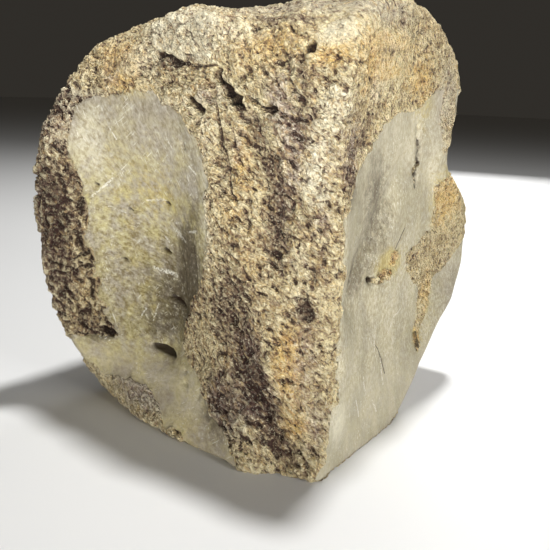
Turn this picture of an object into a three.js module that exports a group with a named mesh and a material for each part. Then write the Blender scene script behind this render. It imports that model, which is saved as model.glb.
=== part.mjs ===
// A fossil dinosaur vertebra: the worn body of one backbone segment, its arch broken away.
// Millimetres, +Z up. X runs along the backbone, from the worn far end at -X to the smooth
// articular face at +X. -Y is the side whose waist keeps its smooth skin. The bone stands on
// its flat underside at Z = 0, with the origin under the middle of its box.

import * as THREE from 'three';

// Driving dimensions.
const LENGTH = 110;

// Mesh layout: quads up each side, across top and bottom, and along the bone.
const SIDE_STEPS = 32;
const BREADTH_STEPS = 20;
const ALONG_STEPS = 28;

// Feature lines that every section shares, in order round the outline from below the -Y side.
// The four corners part the outline into side, top, side and bottom.
const NEAR_FOOT = 0;
const NEAR_TOP = 7;
const FAR_TOP = 10;
const FAR_FOOT = 16;
const CORNERS = [NEAR_FOOT, NEAR_TOP, FAR_TOP, FAR_FOOT];

// Sections across the bone, as [Y, Z] points seen from the +X end.
const SECTIONS = [
  {
    // Worn rim of the -X end.
    along: 0,
    outline: [
      [-38, -2], [-47, 15], [-52, 32], [-55, 48], [-57, 68], [-53, 88], [-43, 102], [-31, 115],
      [-10, 118], [12, 118], [31, 112], [44, 98], [52, 84], [57, 66], [57, 45], [48, 20],
      [30, -2], [-4, -3],
    ],
  },
  {
    // Crown of that rim, flared out on both sides.
    along: 0.06,
    outline: [
      [-43, -2], [-50, 15], [-54, 32], [-57, 48], [-58.5, 68], [-55, 88], [-46, 103], [-33, 117],
      [-10, 120], [13, 120], [32, 114], [46, 99], [53, 84], [58.5, 66], [58, 45], [51, 20],
      [35, -2], [-4, -3],
    ],
  },
  {
    // Foot of the flare.
    along: 0.17,
    outline: [
      [-49, -2], [-47, 12], [-44, 28], [-44, 48], [-46, 68], [-48, 88], [-45, 103], [-33, 121],
      [-9, 123], [13, 124], [30, 117], [39, 100], [42, 84], [44, 66], [44, 45], [44, 20],
      [36, -2], [-4, -3],
    ],
  },
  {
    // Waist.
    along: 0.4,
    outline: [
      [-55, -2], [-50, 9], [-40, 23], [-37, 42], [-41, 66], [-45, 88], [-45, 104], [-36, 123],
      [-10, 126], [13, 126], [28, 117], [34, 100], [35, 84], [37, 66], [37, 45], [39, 20],
      [33, -2], [-4, -3],
    ],
  },
  {
    // Where the worn band of the +X end starts.
    along: 0.59,
    outline: [
      [-57, -2], [-52, 10], [-46, 26], [-47, 44], [-48, 68], [-48, 90], [-47, 108], [-38, 123],
      [-12, 126], [11, 127], [27, 119], [34, 103], [35, 86], [42, 68], [42, 45], [37, 20],
      [28, -2], [-8, -3],
    ],
  },
  {
    // Crown of the band.
    along: 0.8,
    outline: [
      [-56, -2], [-54, 12], [-51, 28], [-50, 46], [-50, 70], [-49, 92], [-47, 109], [-38, 124],
      [-13, 130], [9, 130], [25, 122], [33, 106], [31, 87], [48, 70], [52, 47], [33, 19],
      [15, -2], [-14, -3],
    ],
  },
  {
    // Rim of the +X face.
    along: 1,
    outline: [
      [-50, -2], [-45, 13], [-41, 28], [-43, 48], [-45, 72], [-45, 92], [-45, 109], [-38, 123],
      [-14, 130], [7, 130], [23, 121], [32, 104], [25, 84], [45, 68], [52, 45], [23, 17],
      [-2, -2], [-22, -3],
    ],
  },
];

// Rounding of the two rims, and how deep each end is dished.
const LEFT_RIM_RADIUS = 5;
const RIGHT_RIM_RADIUS = 3;
const LEFT_DISH = 7;
const RIGHT_DISH = 2.5;

// How far the ends fall back from their planes: the -X end towards its foot and its worn top,
// the +X end at its top edge. Each starts at one height and is complete at the other.
const LEFT_FOOT = { back: 16, from: 34, to: 0 };
const LEFT_CROWN = { back: 6, from: 96, to: 122 };
const RIGHT_CROWN = { back: 3, from: 115, to: 131 };

// Anything that would lie lower than this is worn flat at Z = 0.
const FLAT_BELOW = 0.6;

// The smooth skin left on the -Y waist, as [height, X] up its two edges, and its top.
const PATCH_LEFT = [[0, -46], [16, -44], [20, -31], [36, -36], [51, -39], [64, -41], [100, -44]];
const PATCH_RIGHT = [
  [0, 29], [14, 13], [23, 2], [28, -6], [38, 3], [49, 9], [62, 12], [74, 12], [84, 9], [92, 3], [102, -8],
];
const PATCH_TOP = 102;
const PATCH_DEPTH = 1.1;

// The same skin on the +Y waist.
const FAR_PATCH = { left: -38, right: 20, bottom: 14, top: 92 };

// The smooth +X face ends at this height, and at a slanting line across its -Y upper corner.
const FACE_TOP = 108;
const FACE_CUT = { y: -45, z: 72, slope: 1.04 };

// Coarse relief of the spongy bone, and of what smooth skin is left.
const ROUGH_RELIEF = 1.5;
const SMOOTH_RELIEF = 0.25;
const LUMP_SIZE = 11;

// Rounded forms that rise from the surface, or sink where the rise is negative.
const FORMS = [
  // Lumpy block on the top edge, over the waist, with a dip beside it.
  { at: [2, -40, 121], reach: [17, 9, 8], rise: 5 },
  { at: [-10, -38, 124], reach: [7, 8, 6], rise: 1.5 },
  { at: [24, -40, 124], reach: [8, 9, 8], rise: -1 },
  // Orange shoulder above the patch.
  { at: [-26, -42, 110], reach: [12, 8, 6], rise: 1 },
  // Swelling of the band, and its heavy lower corner.
  { at: [44, -48, 92], reach: [12, 8, 16], rise: 1.2 },
  { at: [44, -50, 26], reach: [9, 8, 14], rise: 1.5 },
  // Hollow in the flared -X rim.
  { at: [-47, -54, 58], reach: [4, 8, 11], rise: -2.5 },
  { at: [-46, -48, 34], reach: [4, 6, 8], rise: -1.5 },
  // Largest nutrient openings of the -Y waist.
  { at: [-10, -41, 21], reach: [5, 5, 3], rise: -3 },
  { at: [-7, -38, 37], reach: [6, 5, 2.5], rise: -1.5 },
  // Hollow under the orange ledge of the +X face, and the lobe and lip at its far edge.
  { at: [53, -20, 42], reach: [8, 13, 9], rise: -1.3 },
  { at: [52, 36, 66], reach: [10, 9, 11], rise: 1.5 },
  { at: [52, 36, 32], reach: [10, 7, 12], rise: 1 },
  // Spalled upper corner of the +X face.
  { at: [57, -33, 95], reach: [7, 12, 14], rise: -2.2 },
  // Canal floor along the top, between the stubs of the broken arch.
  { at: [-22, 2, 124], reach: [46, 8, 12], rise: -8 },
  { at: [-8, -18, 126], reach: [26, 7, 9], rise: 2 },
  { at: [-4, 21, 124], reach: [22, 7, 9], rise: 2.5 },
  // Nutrient openings of the +Y waist, and a knock in the -X rim.
  { at: [-8, 40, 60], reach: [6, 6, 4], rise: -3 },
  { at: [10, 41, 40], reach: [4, 6, 3], rise: -2 },
  { at: [-50, 50, 92], reach: [9, 10, 9], rise: -4 },
  { at: [-52, 10, 116], reach: [9, 14, 8], rise: -3 },
  // Shallow hollows of the underside, either side of its keel.
  { at: [-12, -22, -3], reach: [20, 9, 8], rise: -5 },
  { at: [6, 12, -3], reach: [22, 10, 8], rise: -5.5 },
];

// Long hollows: cracks, worn channels and undercuts.
const CHANNELS = [
  // Undercut below the lumpy block.
  { path: [[-13, -42, 113], [-3, -45, 111], [14, -48, 110]], width: 3, depth: 2.6 },
  // Open crack across the top of the band, and the one that follows the edge of the patch.
  { path: [[16, -49, 107], [24, -50, 100], [35, -49, 100]], width: 3, depth: 2.6 },
  { path: [[13, -49, 104], [18, -50, 94], [21, -50, 80], [26, -51, 72]], width: 2.6, depth: 1.6 },
  // Dark weathered channels down the band.
  { path: [[28, -50, 98], [31, -51, 84], [37, -50, 76], [36, -51, 66], [40, -50, 58]], width: 4, depth: 2 },
  { path: [[22, -49, 46], [27, -52, 36], [32, -53, 26], [39, -53, 14], [45, -53, 5]], width: 4.5, depth: 2.6 },
  // Square pit in the band.
  { path: [[47, -47, 47], [51, -46, 44]], width: 3, depth: 1.6 },
  // Trough down the +X face.
  { path: [[53, -9, 88], [53, -17, 72], [55, -31, 50]], width: 10, depth: 1.8 },
  // Split and worn strip of the +X face.
  { path: [[54, 6, 96], [54, 8, 84], [54, 7, 77]], width: 2.6, depth: 2 },
  { path: [[54, -19, 51], [54, -8, 52], [54, 1, 60]], width: 3, depth: 1.6 },
  { path: [[54, 31, 54], [54, 22, 42], [54, 17, 24]], width: 3.5, depth: 2 },
];

function smoothstep(low, high, value) {
  const t = Math.min(1, Math.max(0, (value - low) / (high - low)));
  return t * t * (3 - 2 * t);
}

// A value read off a list of [position, value] points, with straight lines between them.
function readProfile(profile, position) {
  const last = profile.length - 1;
  if (position <= profile[0][0]) return profile[0][1];
  if (position >= profile[last][0]) return profile[last][1];
  const k = profile.findIndex(([start]) => start > position) - 1;
  const [from, low] = profile[k];
  const [to, high] = profile[k + 1];
  return low + ((high - low) * (position - from)) / (to - from);
}

// Repeatable random number from 0 to 1 for a whole-number place in space.
function cellValue(i, j, k) {
  let hash = Math.imul(i, 374761393) + Math.imul(j, 668265263) + Math.imul(k, 1274126177);
  hash = Math.imul(hash ^ (hash >>> 13), 1103515245);
  return ((hash ^ (hash >>> 16)) >>> 0) / 4294967295;
}

// Smooth random relief from -1 to 1, with lumps about one unit across.
function lumps(x, y, z) {
  const base = [x, y, z].map(Math.floor);
  const [u, v, w] = [x, y, z].map((value, axis) => smoothstep(0, 1, value - base[axis]));
  let sum = 0;
  for (const [i, a] of [[0, 1 - u], [1, u]]) {
    for (const [j, b] of [[0, 1 - v], [1, v]]) {
      for (const [k, c] of [[0, 1 - w], [1, w]]) {
        sum += a * b * c * cellValue(base[0] + i, base[1] + j, base[2] + k);
      }
    }
  }
  return 2 * sum - 1;
}

// 1 on smooth skin and 0 on spongy bone, fading over a few millimetres.
function smoothSkin(point, normal) {
  const { x, y, z } = point;
  const inside = (distance) => smoothstep(-1.5, 1.5, distance);
  const nearPatch = inside(x - readProfile(PATCH_LEFT, z)) * inside(readProfile(PATCH_RIGHT, z) - x)
    * inside(PATCH_TOP - z) * smoothstep(0.3, 0.5, -normal.y);
  const farPatch = inside(x - FAR_PATCH.left) * inside(FAR_PATCH.right - x)
    * inside(z - FAR_PATCH.bottom) * inside(FAR_PATCH.top - z) * smoothstep(0.3, 0.5, normal.y);
  const belowCut = inside(y - FACE_CUT.y - FACE_CUT.slope * (z - FACE_CUT.z));
  const rightFace = smoothstep(0.75, 0.95, normal.x) * belowCut * inside(FACE_TOP - z);
  return Math.max(nearPatch, farPatch, rightFace);
}

// Rise of all rounded forms at a point.
function formRise(point) {
  return FORMS.reduce((sum, { at, reach, rise }) => {
    const x = (point.x - at[0]) / reach[0];
    const y = (point.y - at[1]) / reach[1];
    const z = (point.z - at[2]) / reach[2];
    return sum + rise * Math.exp(-(x * x + y * y + z * z));
  }, 0);
}

// Depth of all channels at a point.
function channelDepth(point) {
  return CHANNELS.reduce((sum, { path, width, depth }) => {
    let nearest = Infinity;
    for (let k = 0; k < path.length - 1; k += 1) {
      const line = new THREE.Line3(new THREE.Vector3(...path[k]), new THREE.Vector3(...path[k + 1]));
      const foot = line.closestPointToPoint(point, true, new THREE.Vector3());
      nearest = Math.min(nearest, foot.distanceTo(point));
    }
    return sum + depth * Math.exp(-((nearest / width) ** 2));
  }, 0);
}

// How far the weathered surface stands out from the plain loft at a point.
function weathering(point, normal) {
  const skin = smoothSkin(point, normal);
  const [x, y, z] = [point.x, point.y, point.z].map((value) => value / LUMP_SIZE);
  const relief = lumps(x, y, z) + 0.6 * lumps(2 * x + 7, 2 * y + 3, 2 * z + 5);
  const height = ROUGH_RELIEF + (SMOOTH_RELIEF - ROUGH_RELIEF) * skin;
  const step = Math.abs(normal.y) > 0.4 ? PATCH_DEPTH * skin : 0;
  return relief * height + formRise(point) - channelDepth(point) - step;
}

// Points at even steps of length between two feature lines of a closed outline.
function evenRun(curve, from, to, steps) {
  const knots = curve.points.length;
  const fine = 400;
  const samples = [];
  for (let i = 0; i <= fine; i += 1) {
    samples.push(curve.getPoint(((from + ((to - from) * i) / fine) / knots) % 1));
  }
  const reach = [0];
  for (let i = 1; i <= fine; i += 1) {
    reach.push(reach[i - 1] + samples[i].distanceTo(samples[i - 1]));
  }
  const points = [];
  let k = 0;
  for (let i = 0; i < steps; i += 1) {
    const target = (reach[fine] * i) / steps;
    while (reach[k + 1] < target) k += 1;
    const part = (target - reach[k]) / (reach[k + 1] - reach[k]);
    points.push(samples[k].clone().lerp(samples[k + 1], part));
  }
  return points;
}

// The whole outline of a section, one point for each quad round the bone.
function outlinePoints(section) {
  const corners = section.outline.map(([y, z]) => new THREE.Vector3(0, y, z));
  const curve = new THREE.CatmullRomCurve3(corners, true, 'centripetal');
  const [a, b, c, d] = CORNERS;
  return [
    ...evenRun(curve, a, b, SIDE_STEPS),
    ...evenRun(curve, b, c, BREADTH_STEPS),
    ...evenRun(curve, c, d, SIDE_STEPS),
    ...evenRun(curve, d, a + corners.length, BREADTH_STEPS),
  ];
}

// How far each end's surface lies back from its plane at a height.
function leftRecess(z) {
  const foot = Math.max(0, (LEFT_FOOT.from - z) / (LEFT_FOOT.from - LEFT_FOOT.to));
  return LEFT_FOOT.back * foot ** 2
    + LEFT_CROWN.back * smoothstep(LEFT_CROWN.from, LEFT_CROWN.to, z);
}

function rightRecess(z) {
  return RIGHT_CROWN.back * smoothstep(RIGHT_CROWN.from, RIGHT_CROWN.to, z);
}

// One spline along the bone through the same point of every section.
function alongCurves() {
  const rings = SECTIONS.map(outlinePoints);
  return rings[0].map((_, j) => {
    const knots = SECTIONS.map((section, s) => {
      const { y, z } = rings[s][j];
      const start = -LENGTH / 2 + leftRecess(z);
      const end = LENGTH / 2 - rightRecess(z);
      return new THREE.Vector3(start + (end - start) * section.along, y, z);
    });
    return new THREE.CatmullRomCurve3(knots, false, 'centripetal');
  });
}

// Rows along the bone as spline parameters: two close rows round each rim, then even steps.
function rowParameters() {
  const knots = SECTIONS.map((section) => section.along);
  const toParameter = (along) => {
    let k = 0;
    while (k < knots.length - 2 && along > knots[k + 1]) k += 1;
    return (k + (along - knots[k]) / (knots[k + 1] - knots[k])) / (knots.length - 1);
  };
  const first = LEFT_RIM_RADIUS / LENGTH;
  const last = 1 - RIGHT_RIM_RADIUS / LENGTH;
  const rows = [0, first * 0.3];
  for (let i = 0; i <= ALONG_STEPS; i += 1) {
    rows.push(first + ((last - first) * i) / ALONG_STEPS);
  }
  rows.push(1 - (1 - last) * 0.3, 1);
  return rows.map((along) => ({ along, parameter: toParameter(along) }));
}

// How far a rounded rim of this radius lies inside the full outline.
function rimInset(distance, radius) {
  if (distance >= radius) return 0;
  const rise = radius - distance;
  return radius - Math.sqrt(radius * radius - rise * rise);
}

// The sides: rows of points from one rim to the other.
function sideRows() {
  const curves = alongCurves();
  return rowParameters().map(({ along, parameter }) => {
    const row = curves.map((curve) => curve.getPoint(parameter));
    const middle = new THREE.Vector3();
    row.forEach((point) => middle.addScaledVector(point, 1 / row.length));
    const inset = rimInset(along * LENGTH, LEFT_RIM_RADIUS)
      + rimInset((1 - along) * LENGTH, RIGHT_RIM_RADIUS);
    row.forEach((point) => {
      const inward = new THREE.Vector3(0, middle.y - point.y, middle.z - point.z).normalize();
      point.addScaledVector(inward, inset);
    });
    return row;
  });
}

// Mesh under construction: points, and triangles as index triples.
const points = [];
const triangles = [];

function addPoint(point) {
  points.push(point);
  return points.length - 1;
}

function addQuad(a, b, c, d) {
  triangles.push([a, b, c], [a, c, d]);
}

// An end face: a grid of quads fitted into a rim, and dished.
function addCap(rim, dish, facing) {
  const n = SIDE_STEPS;
  const m = BREADTH_STEPS;
  const total = rim.length;
  const grid = [];
  for (let i = 0; i <= n; i += 1) {
    grid.push(new Array(m + 1));
  }
  for (let i = 0; i <= n; i += 1) {
    grid[i][0] = rim[i];
    grid[n - i][m] = rim[n + m + i];
  }
  for (let j = 0; j <= m; j += 1) {
    grid[n][j] = rim[n + j];
    grid[0][m - j] = rim[(2 * n + m + j) % total];
  }
  for (let i = 1; i < n; i += 1) {
    for (let j = 1; j < m; j += 1) {
      const u = i / n;
      const v = j / m;
      const at = (index, weight) => points[index].clone().multiplyScalar(weight);
      const point = at(grid[i][0], 1 - v).add(at(grid[i][m], v))
        .add(at(grid[0][j], 1 - u)).add(at(grid[n][j], u))
        .sub(at(grid[0][0], (1 - u) * (1 - v))).sub(at(grid[n][0], u * (1 - v)))
        .sub(at(grid[0][m], (1 - u) * v)).sub(at(grid[n][m], u * v));
      const hollow = 16 * u * (1 - u) * v * (1 - v);
      point.x -= facing * dish * smoothstep(0, 0.7, hollow);
      grid[i][j] = addPoint(point);
    }
  }
  for (let i = 0; i < n; i += 1) {
    for (let j = 0; j < m; j += 1) {
      const [a, b, c, d] = [grid[i][j], grid[i + 1][j], grid[i + 1][j + 1], grid[i][j + 1]];
      if (facing > 0) addQuad(d, c, b, a);
      else addQuad(a, b, c, d);
    }
  }
}

function buildCentrum() {
  const rows = sideRows().map((row) => row.map(addPoint));
  const around = rows[0].length;
  for (let i = 0; i < rows.length - 1; i += 1) {
    for (let j = 0; j < around; j += 1) {
      const next = (j + 1) % around;
      addQuad(rows[i][j], rows[i + 1][j], rows[i + 1][next], rows[i][next]);
    }
  }
  addCap(rows[0], LEFT_DISH, -1);
  addCap(rows[rows.length - 1], RIGHT_DISH, 1);

  const geometry = new THREE.BufferGeometry();
  geometry.setAttribute('position', new THREE.Float32BufferAttribute(
    points.flatMap((point) => point.toArray()), 3));
  geometry.setIndex(triangles.flat());
  geometry.computeVertexNormals();

  // Weather the surface, and wear the underside flat to stand on.
  const position = geometry.getAttribute('position');
  const normals = geometry.getAttribute('normal');
  points.forEach((point, i) => {
    const normal = new THREE.Vector3().fromBufferAttribute(normals, i);
    const worn = point.clone().addScaledVector(normal, weathering(point, normal));
    if (worn.z < FLAT_BELOW) worn.z = 0;
    position.setXYZ(i, worn.x, worn.y, worn.z);
  });

  // Bring the middle of the box over the origin.
  geometry.computeBoundingBox();
  const middle = geometry.boundingBox.getCenter(new THREE.Vector3());
  geometry.translate(-middle.x, -middle.y, 0);
  geometry.computeVertexNormals();
  return geometry;
}

const bone = new THREE.MeshStandardMaterial({ color: 0xa8956c, roughness: 0.85, metalness: 0 });
const centrum = new THREE.Mesh(buildCentrum(), bone);
centrum.name = 'centrum';

const vertebra = new THREE.Group();
vertebra.add(centrum);

export default vertebra;
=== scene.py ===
"""Looks of the fossil dinosaur vertebra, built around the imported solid.

One piece, fossil_bone, takes the form of the CAD node "centrum", refines it and adds the fine
relief: crumbs, pores and grooves of the spongy bone, nutrient openings, cracks and the edges of
the smooth skin. All lengths are in millimetres in the part's own frame.
"""
import math
from itertools import product

import bmesh
import bpy
import numpy as np
from mathutils import Matrix, Vector


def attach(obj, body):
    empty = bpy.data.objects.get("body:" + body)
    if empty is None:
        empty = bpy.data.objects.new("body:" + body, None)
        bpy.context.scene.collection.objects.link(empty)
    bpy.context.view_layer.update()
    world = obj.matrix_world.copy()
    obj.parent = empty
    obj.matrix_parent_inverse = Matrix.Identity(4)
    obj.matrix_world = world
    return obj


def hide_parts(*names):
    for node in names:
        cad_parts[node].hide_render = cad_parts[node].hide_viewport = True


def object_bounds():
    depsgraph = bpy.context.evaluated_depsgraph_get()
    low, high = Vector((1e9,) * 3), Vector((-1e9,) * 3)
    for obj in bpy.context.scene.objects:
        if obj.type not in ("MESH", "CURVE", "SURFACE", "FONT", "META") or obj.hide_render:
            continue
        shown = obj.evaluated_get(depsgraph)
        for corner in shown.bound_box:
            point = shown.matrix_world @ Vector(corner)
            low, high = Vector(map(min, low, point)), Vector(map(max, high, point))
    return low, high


MM = 0.001    # a millimetre in Blender's metres

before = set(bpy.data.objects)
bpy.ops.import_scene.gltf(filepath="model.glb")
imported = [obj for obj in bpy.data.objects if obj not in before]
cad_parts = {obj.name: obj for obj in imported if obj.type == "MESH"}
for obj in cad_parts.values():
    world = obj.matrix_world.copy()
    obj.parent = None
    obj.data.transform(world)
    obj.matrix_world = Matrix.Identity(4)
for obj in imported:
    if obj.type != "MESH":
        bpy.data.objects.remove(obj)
cad_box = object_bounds()

# ---------------------------------------- camera

CAMERA_PLACE = (139.8, -200.9, 104.7)
CAMERA_TURN = 34.0        # degrees round from looking along +Y
CAMERA_TILT = 14.8        # degrees below level
CAMERA_ROLL = 2.04        # degrees
FOCAL_LENGTH = 45.8       # for a 36 mm sensor
NEAREST_SEEN = 10.0


def add_camera():
    camera = bpy.data.objects.new("camera", bpy.data.cameras.new("camera"))
    camera.data.lens = FOCAL_LENGTH
    camera.data.clip_start = NEAREST_SEEN * MM
    turn = Matrix.Rotation(math.radians(CAMERA_TURN), 4, "Z")
    tilt = Matrix.Rotation(math.radians(90 - CAMERA_TILT), 4, "X")
    roll = Matrix.Rotation(math.radians(CAMERA_ROLL), 4, "Z")
    place = Matrix.Translation(Vector(CAMERA_PLACE) * MM)
    camera.matrix_world = place @ turn @ tilt @ roll
    bpy.context.scene.collection.objects.link(camera)
    bpy.context.scene.camera = camera


# ---------------------------------------- noise

# Factors that scatter the numbers of a cell and a seed, then rounds that mix their bits: how far
# they are shifted and what they are multiplied by.
CELL_FACTORS = (374761393, 668265263, 1274126177)
SEED_FACTOR = 974634777
MIXING = ((13, 1103515245), (16, 2246822519), (15, 1))
LARGEST = 0xFFFFFFFF

OCTAVE_SHIFT = 17.3             # how far apart the layers of a fractal are taken
PLACE_SEEDS = (11, 23, 37)      # added to a seed for where a cell's point lies on each axis
CHANCE_FACTORS = (7.31, 3.17)   # what makes a cell's own number from the first two of them


def cell_value(places, seed):
    """Repeatable random numbers from 0 to 1 for whole-number cells, an (n, 3) array."""
    columns = places.astype(np.int64).T
    mixed = sum(column * factor for column, factor in zip(columns, CELL_FACTORS))
    mixed += seed * SEED_FACTOR
    for shift, factor in MIXING:
        mixed = (mixed ^ (mixed >> shift)) & LARGEST
        mixed = (mixed * factor) & LARGEST
    return mixed / LARGEST


def smoothstep(low, high, value):
    """0 at the low value and 1 at the high one, with an even ramp between; low may be higher."""
    t = np.clip((value - low) / (high - low), 0, 1)
    return t * t * (3 - 2 * t)


def lumps(points, size, seed):
    """Smooth random relief from -1 to 1 with lumps about size across."""
    q = points / size
    base = np.floor(q)
    t = q - base
    t = t * t * t * (t * (6 * t - 15) + 10)
    share = (1 - t, t)
    total = np.zeros(len(points))
    for i, j, k in product((0, 1), repeat=3):
        weight = share[i][:, 0] * share[j][:, 1] * share[k][:, 2]
        total += weight * cell_value(base + (i, j, k), seed)
    return 2 * total - 1


def fractal(points, size, seed, octaves=3, gain=0.55):
    """Lumps with finer and finer lumps on them, from -1 to 1."""
    total = np.zeros(len(points))
    scale = 1.0
    reach = 0.0
    for octave in range(octaves):
        total += scale * lumps(points + OCTAVE_SHIFT * octave, size / 2 ** octave, seed + octave)
        reach += scale
        scale *= gain
    return total / reach


def warped(points, size, amount, seed):
    """The points, moved about by smooth noise."""
    shift = np.stack([lumps(points, size, seed + axis) for axis in range(3)], axis=1)
    return points + amount * shift


def stretched(points, direction, factor):
    """The points drawn together along a direction, to lengthen what is made from them."""
    direction = np.array(direction, float)
    direction /= np.linalg.norm(direction)
    return points - np.outer((points @ direction) * (1 - 1 / factor), direction)


def cells(points, size, seed):
    """Scattered points: distance to the nearest and the next, in units of size, and a random
    number that belongs to the nearest."""
    q = points / size
    base = np.floor(q)
    nearest = np.full(len(points), np.inf)
    second = np.full(len(points), np.inf)
    chance = np.zeros(len(points))
    for step in product((-1, 0, 1), repeat=3):
        cell = base + step
        values = [cell_value(cell, seed + added) for added in PLACE_SEEDS]
        distance = np.linalg.norm(cell + np.stack(values, axis=1) - q, axis=1)
        closer = distance < nearest
        second = np.where(closer, nearest, np.minimum(second, distance))
        drawn = values[0] * CHANCE_FACTORS[0] + values[1] * CHANCE_FACTORS[1]
        chance = np.where(closer, drawn % 1, chance)
        nearest = np.where(closer, distance, nearest)
    return nearest, second, chance


# ---------------------------------------- places on the bone

# The smooth skin on the -Y waist: X of its two edges at each height, and its top.
PATCH_LEFT = ((0, 9), (2, 3), (5, -3), (8, -9), (9.5, -20), (10, -48), (17, -48), (19.5, -45),
              (20.5, -33), (22, -30.5), (24, -31.5), (28, -35), (35, -37), (49, -38.5),
              (56, -39.5), (71, -40.8), (87, -42), (97, -42.5), (99.5, -41), (101.5, -36),
              (103, -30))
PATCH_RIGHT = ((0, 32), (5, 28), (7, 23), (12, 17), (16, 11), (19, 5), (22, 0), (26, -3),
               (34, -1), (41, 4), (47, 9), (53, 12), (65, 13.5), (72, 13), (80, 13),
               (86, 10.3), (94, 4.7), (97.6, -1), (102, -10))
PATCH_TOP = 102.5

# X of the two edges of the skin on the +Y waist at each height.
FAR_LEFT = ((12, -8), (15, -24), (20, -33), (34, -38), (52, -41), (70, -39), (84, -33), (92, -20),
            (95, -8))
FAR_RIGHT = ((12, -2), (15, 8), (22, 15), (38, 22), (56, 21), (70, 23), (84, 16), (91, 6),
             (95, -4))

# Y and Z of the middle of the skin on the -X end, its reach along both, how uneven its outline
# is as a share of that reach, and its depth in the middle.
END_MIDDLE, END_REACH = (0, 60), (30, 36)
END_UNEVEN, END_DEPTH = 0.28, 24

# The smooth +X face: the height where it ends at each Y, the Y of its edge with the spongy band
# at each height, and the X that it doesn't go behind.
FACE_TOP = ((-45, 73), (-37, 80), (-29, 86), (-22, 91), (-17, 95), (-11, 98), (-6, 100),
            (0, 101), (8, 102), (14, 107))
FACE_EDGE = ((0, -50), (11, -46), (22, -42.3), (36, -40.3), (51, -41), (62, -42), (74, -43.6))
FACE_BACK = 40
FACE_TOP_STEEPNESS = 0.75       # how fast the skin gets deeper below its top

# Where the spongy bone shows within that face: small places with their reach on each axis, and
# the Y of the two edges of a worn strip at each height.
WORN = (
    ((51, -12.5, 49), (20, 2.6, 1.4)), ((51, -9, 50.8), (20, 4.0, 2.0)),
    ((51, -4, 54.8), (20, 3.0, 2.2)), ((51, 9, 81), (20, 1.2, 5)),
    ((54, 23, 103), (20, 4.5, 16)),
)
WORN_EDGE, WORN_DEPTH = 1.5, 4
STRIP_LEFT = ((18, 16), (22, 16), (27, 17), (33, 19.5), (38, 19.5), (42, 17), (46, 8), (50, 4),
              (55, 5), (58, 14), (61, 24), (68, 25), (74, 22), (79, 24), (81, 40))
STRIP_RIGHT = ((17, 16), (22, 18.5), (27, 21), (33, 24), (38, 26), (42, 30), (46, 37), (50, 42),
               (56, 50), (80, 60))

# A side's skin ends where the surface turns away: the normal's share along that side's axis, and
# the millimetres that a whole share counts for.
WAIST_FACING = 0.35
END_FACING = 0.7
FACE_FACING = (0.7, 0.45)       # the second applies beyond FACE_FACING_CHANGE in Y
FACE_FACING_CHANGE = 5
TURN_DEPTH = 20
WELL_INSIDE = 9                 # a depth past which nothing changes


def profile(pairs, position):
    """Values read off (position, value) pairs, with straight lines between them."""
    places, values = zip(*pairs)
    return np.interp(position, places, values)


def between(left, right, height, position):
    """How far inside the two edges of an area a position lies at a height."""
    return np.minimum(position - profile(left, height), profile(right, height) - position)


def blob(points, at, reach):
    """1 at a place, fading to 0 about reach away on each axis."""
    return np.exp(-(((points - np.array(at)) / np.array(reach)) ** 2).sum(axis=1))


def blobs(points, listed):
    """Blobs added together, from the place, reach and strength of each."""
    return sum(strength * blob(points, at, reach) for at, reach, strength in listed)


def route_distance(points, route):
    """Distance from the points to a route of straight stretches."""
    nearest = np.full(len(points), np.inf)
    for start, end in zip(route[:-1], route[1:]):
        start = np.array(start, float)
        step = np.array(end, float) - start
        along = np.clip(((points - start) @ step) / (step @ step), 0, 1)
        foot = start + along[:, None] * step
        nearest = np.minimum(nearest, np.linalg.norm(points - foot, axis=1))
    return nearest


def face_depth(place, normals):
    """How far inside the edge of the skin of the +X face each place lies."""
    x, y, z = place.T
    facing = np.where(y > FACE_FACING_CHANGE, FACE_FACING[1], FACE_FACING[0])
    depth = np.minimum.reduce([FACE_TOP_STEEPNESS * (profile(FACE_TOP, y) - z), x - FACE_BACK,
                               TURN_DEPTH * (normals[:, 0] - facing), y - profile(FACE_EDGE, z)])
    for at, reach in WORN:
        depth = np.minimum(depth, WORN_EDGE - WORN_DEPTH * blob(place, at, reach))
    low, high = STRIP_LEFT[0][0], STRIP_LEFT[-1][0]
    strip = between(STRIP_LEFT, STRIP_RIGHT, z, y)
    return np.minimum(depth, np.where((z > low) & (z < high), -strip, WELL_INSIDE))


def skin_depth(points, normals):
    """How far inside the edge of smooth skin each point lies, below 0 outside: the skin of the
    -Y waist, that of the +Y waist and the -X end, and that of the +X face."""
    place = warped(warped(points, 8, 1.5, seed=3), 2.6, 1.0, seed=6)
    x, y, z = place.T
    near = np.minimum.reduce([between(PATCH_LEFT, PATCH_RIGHT, z, x), PATCH_TOP - z,
                              TURN_DEPTH * (-normals[:, 1] - WAIST_FACING)])
    bottom, top = FAR_LEFT[0][0], FAR_LEFT[-1][0]
    far = np.minimum.reduce([between(FAR_LEFT, FAR_RIGHT, z, x), z - bottom, top - z,
                             TURN_DEPTH * (normals[:, 1] - WAIST_FACING)])
    share = np.hypot((y - END_MIDDLE[0]) / END_REACH[0], (z - END_MIDDLE[1]) / END_REACH[1])
    share += END_UNEVEN * fractal(points, 16, seed=60, gain=0.6)
    end = np.minimum(END_DEPTH * (1 - share), TURN_DEPTH * (-normals[:, 0] - END_FACING))
    return near, np.maximum(far, end), face_depth(place, normals)


# Patches of colour: place, reach on each axis, and strength.
ZONES = {}

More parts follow.
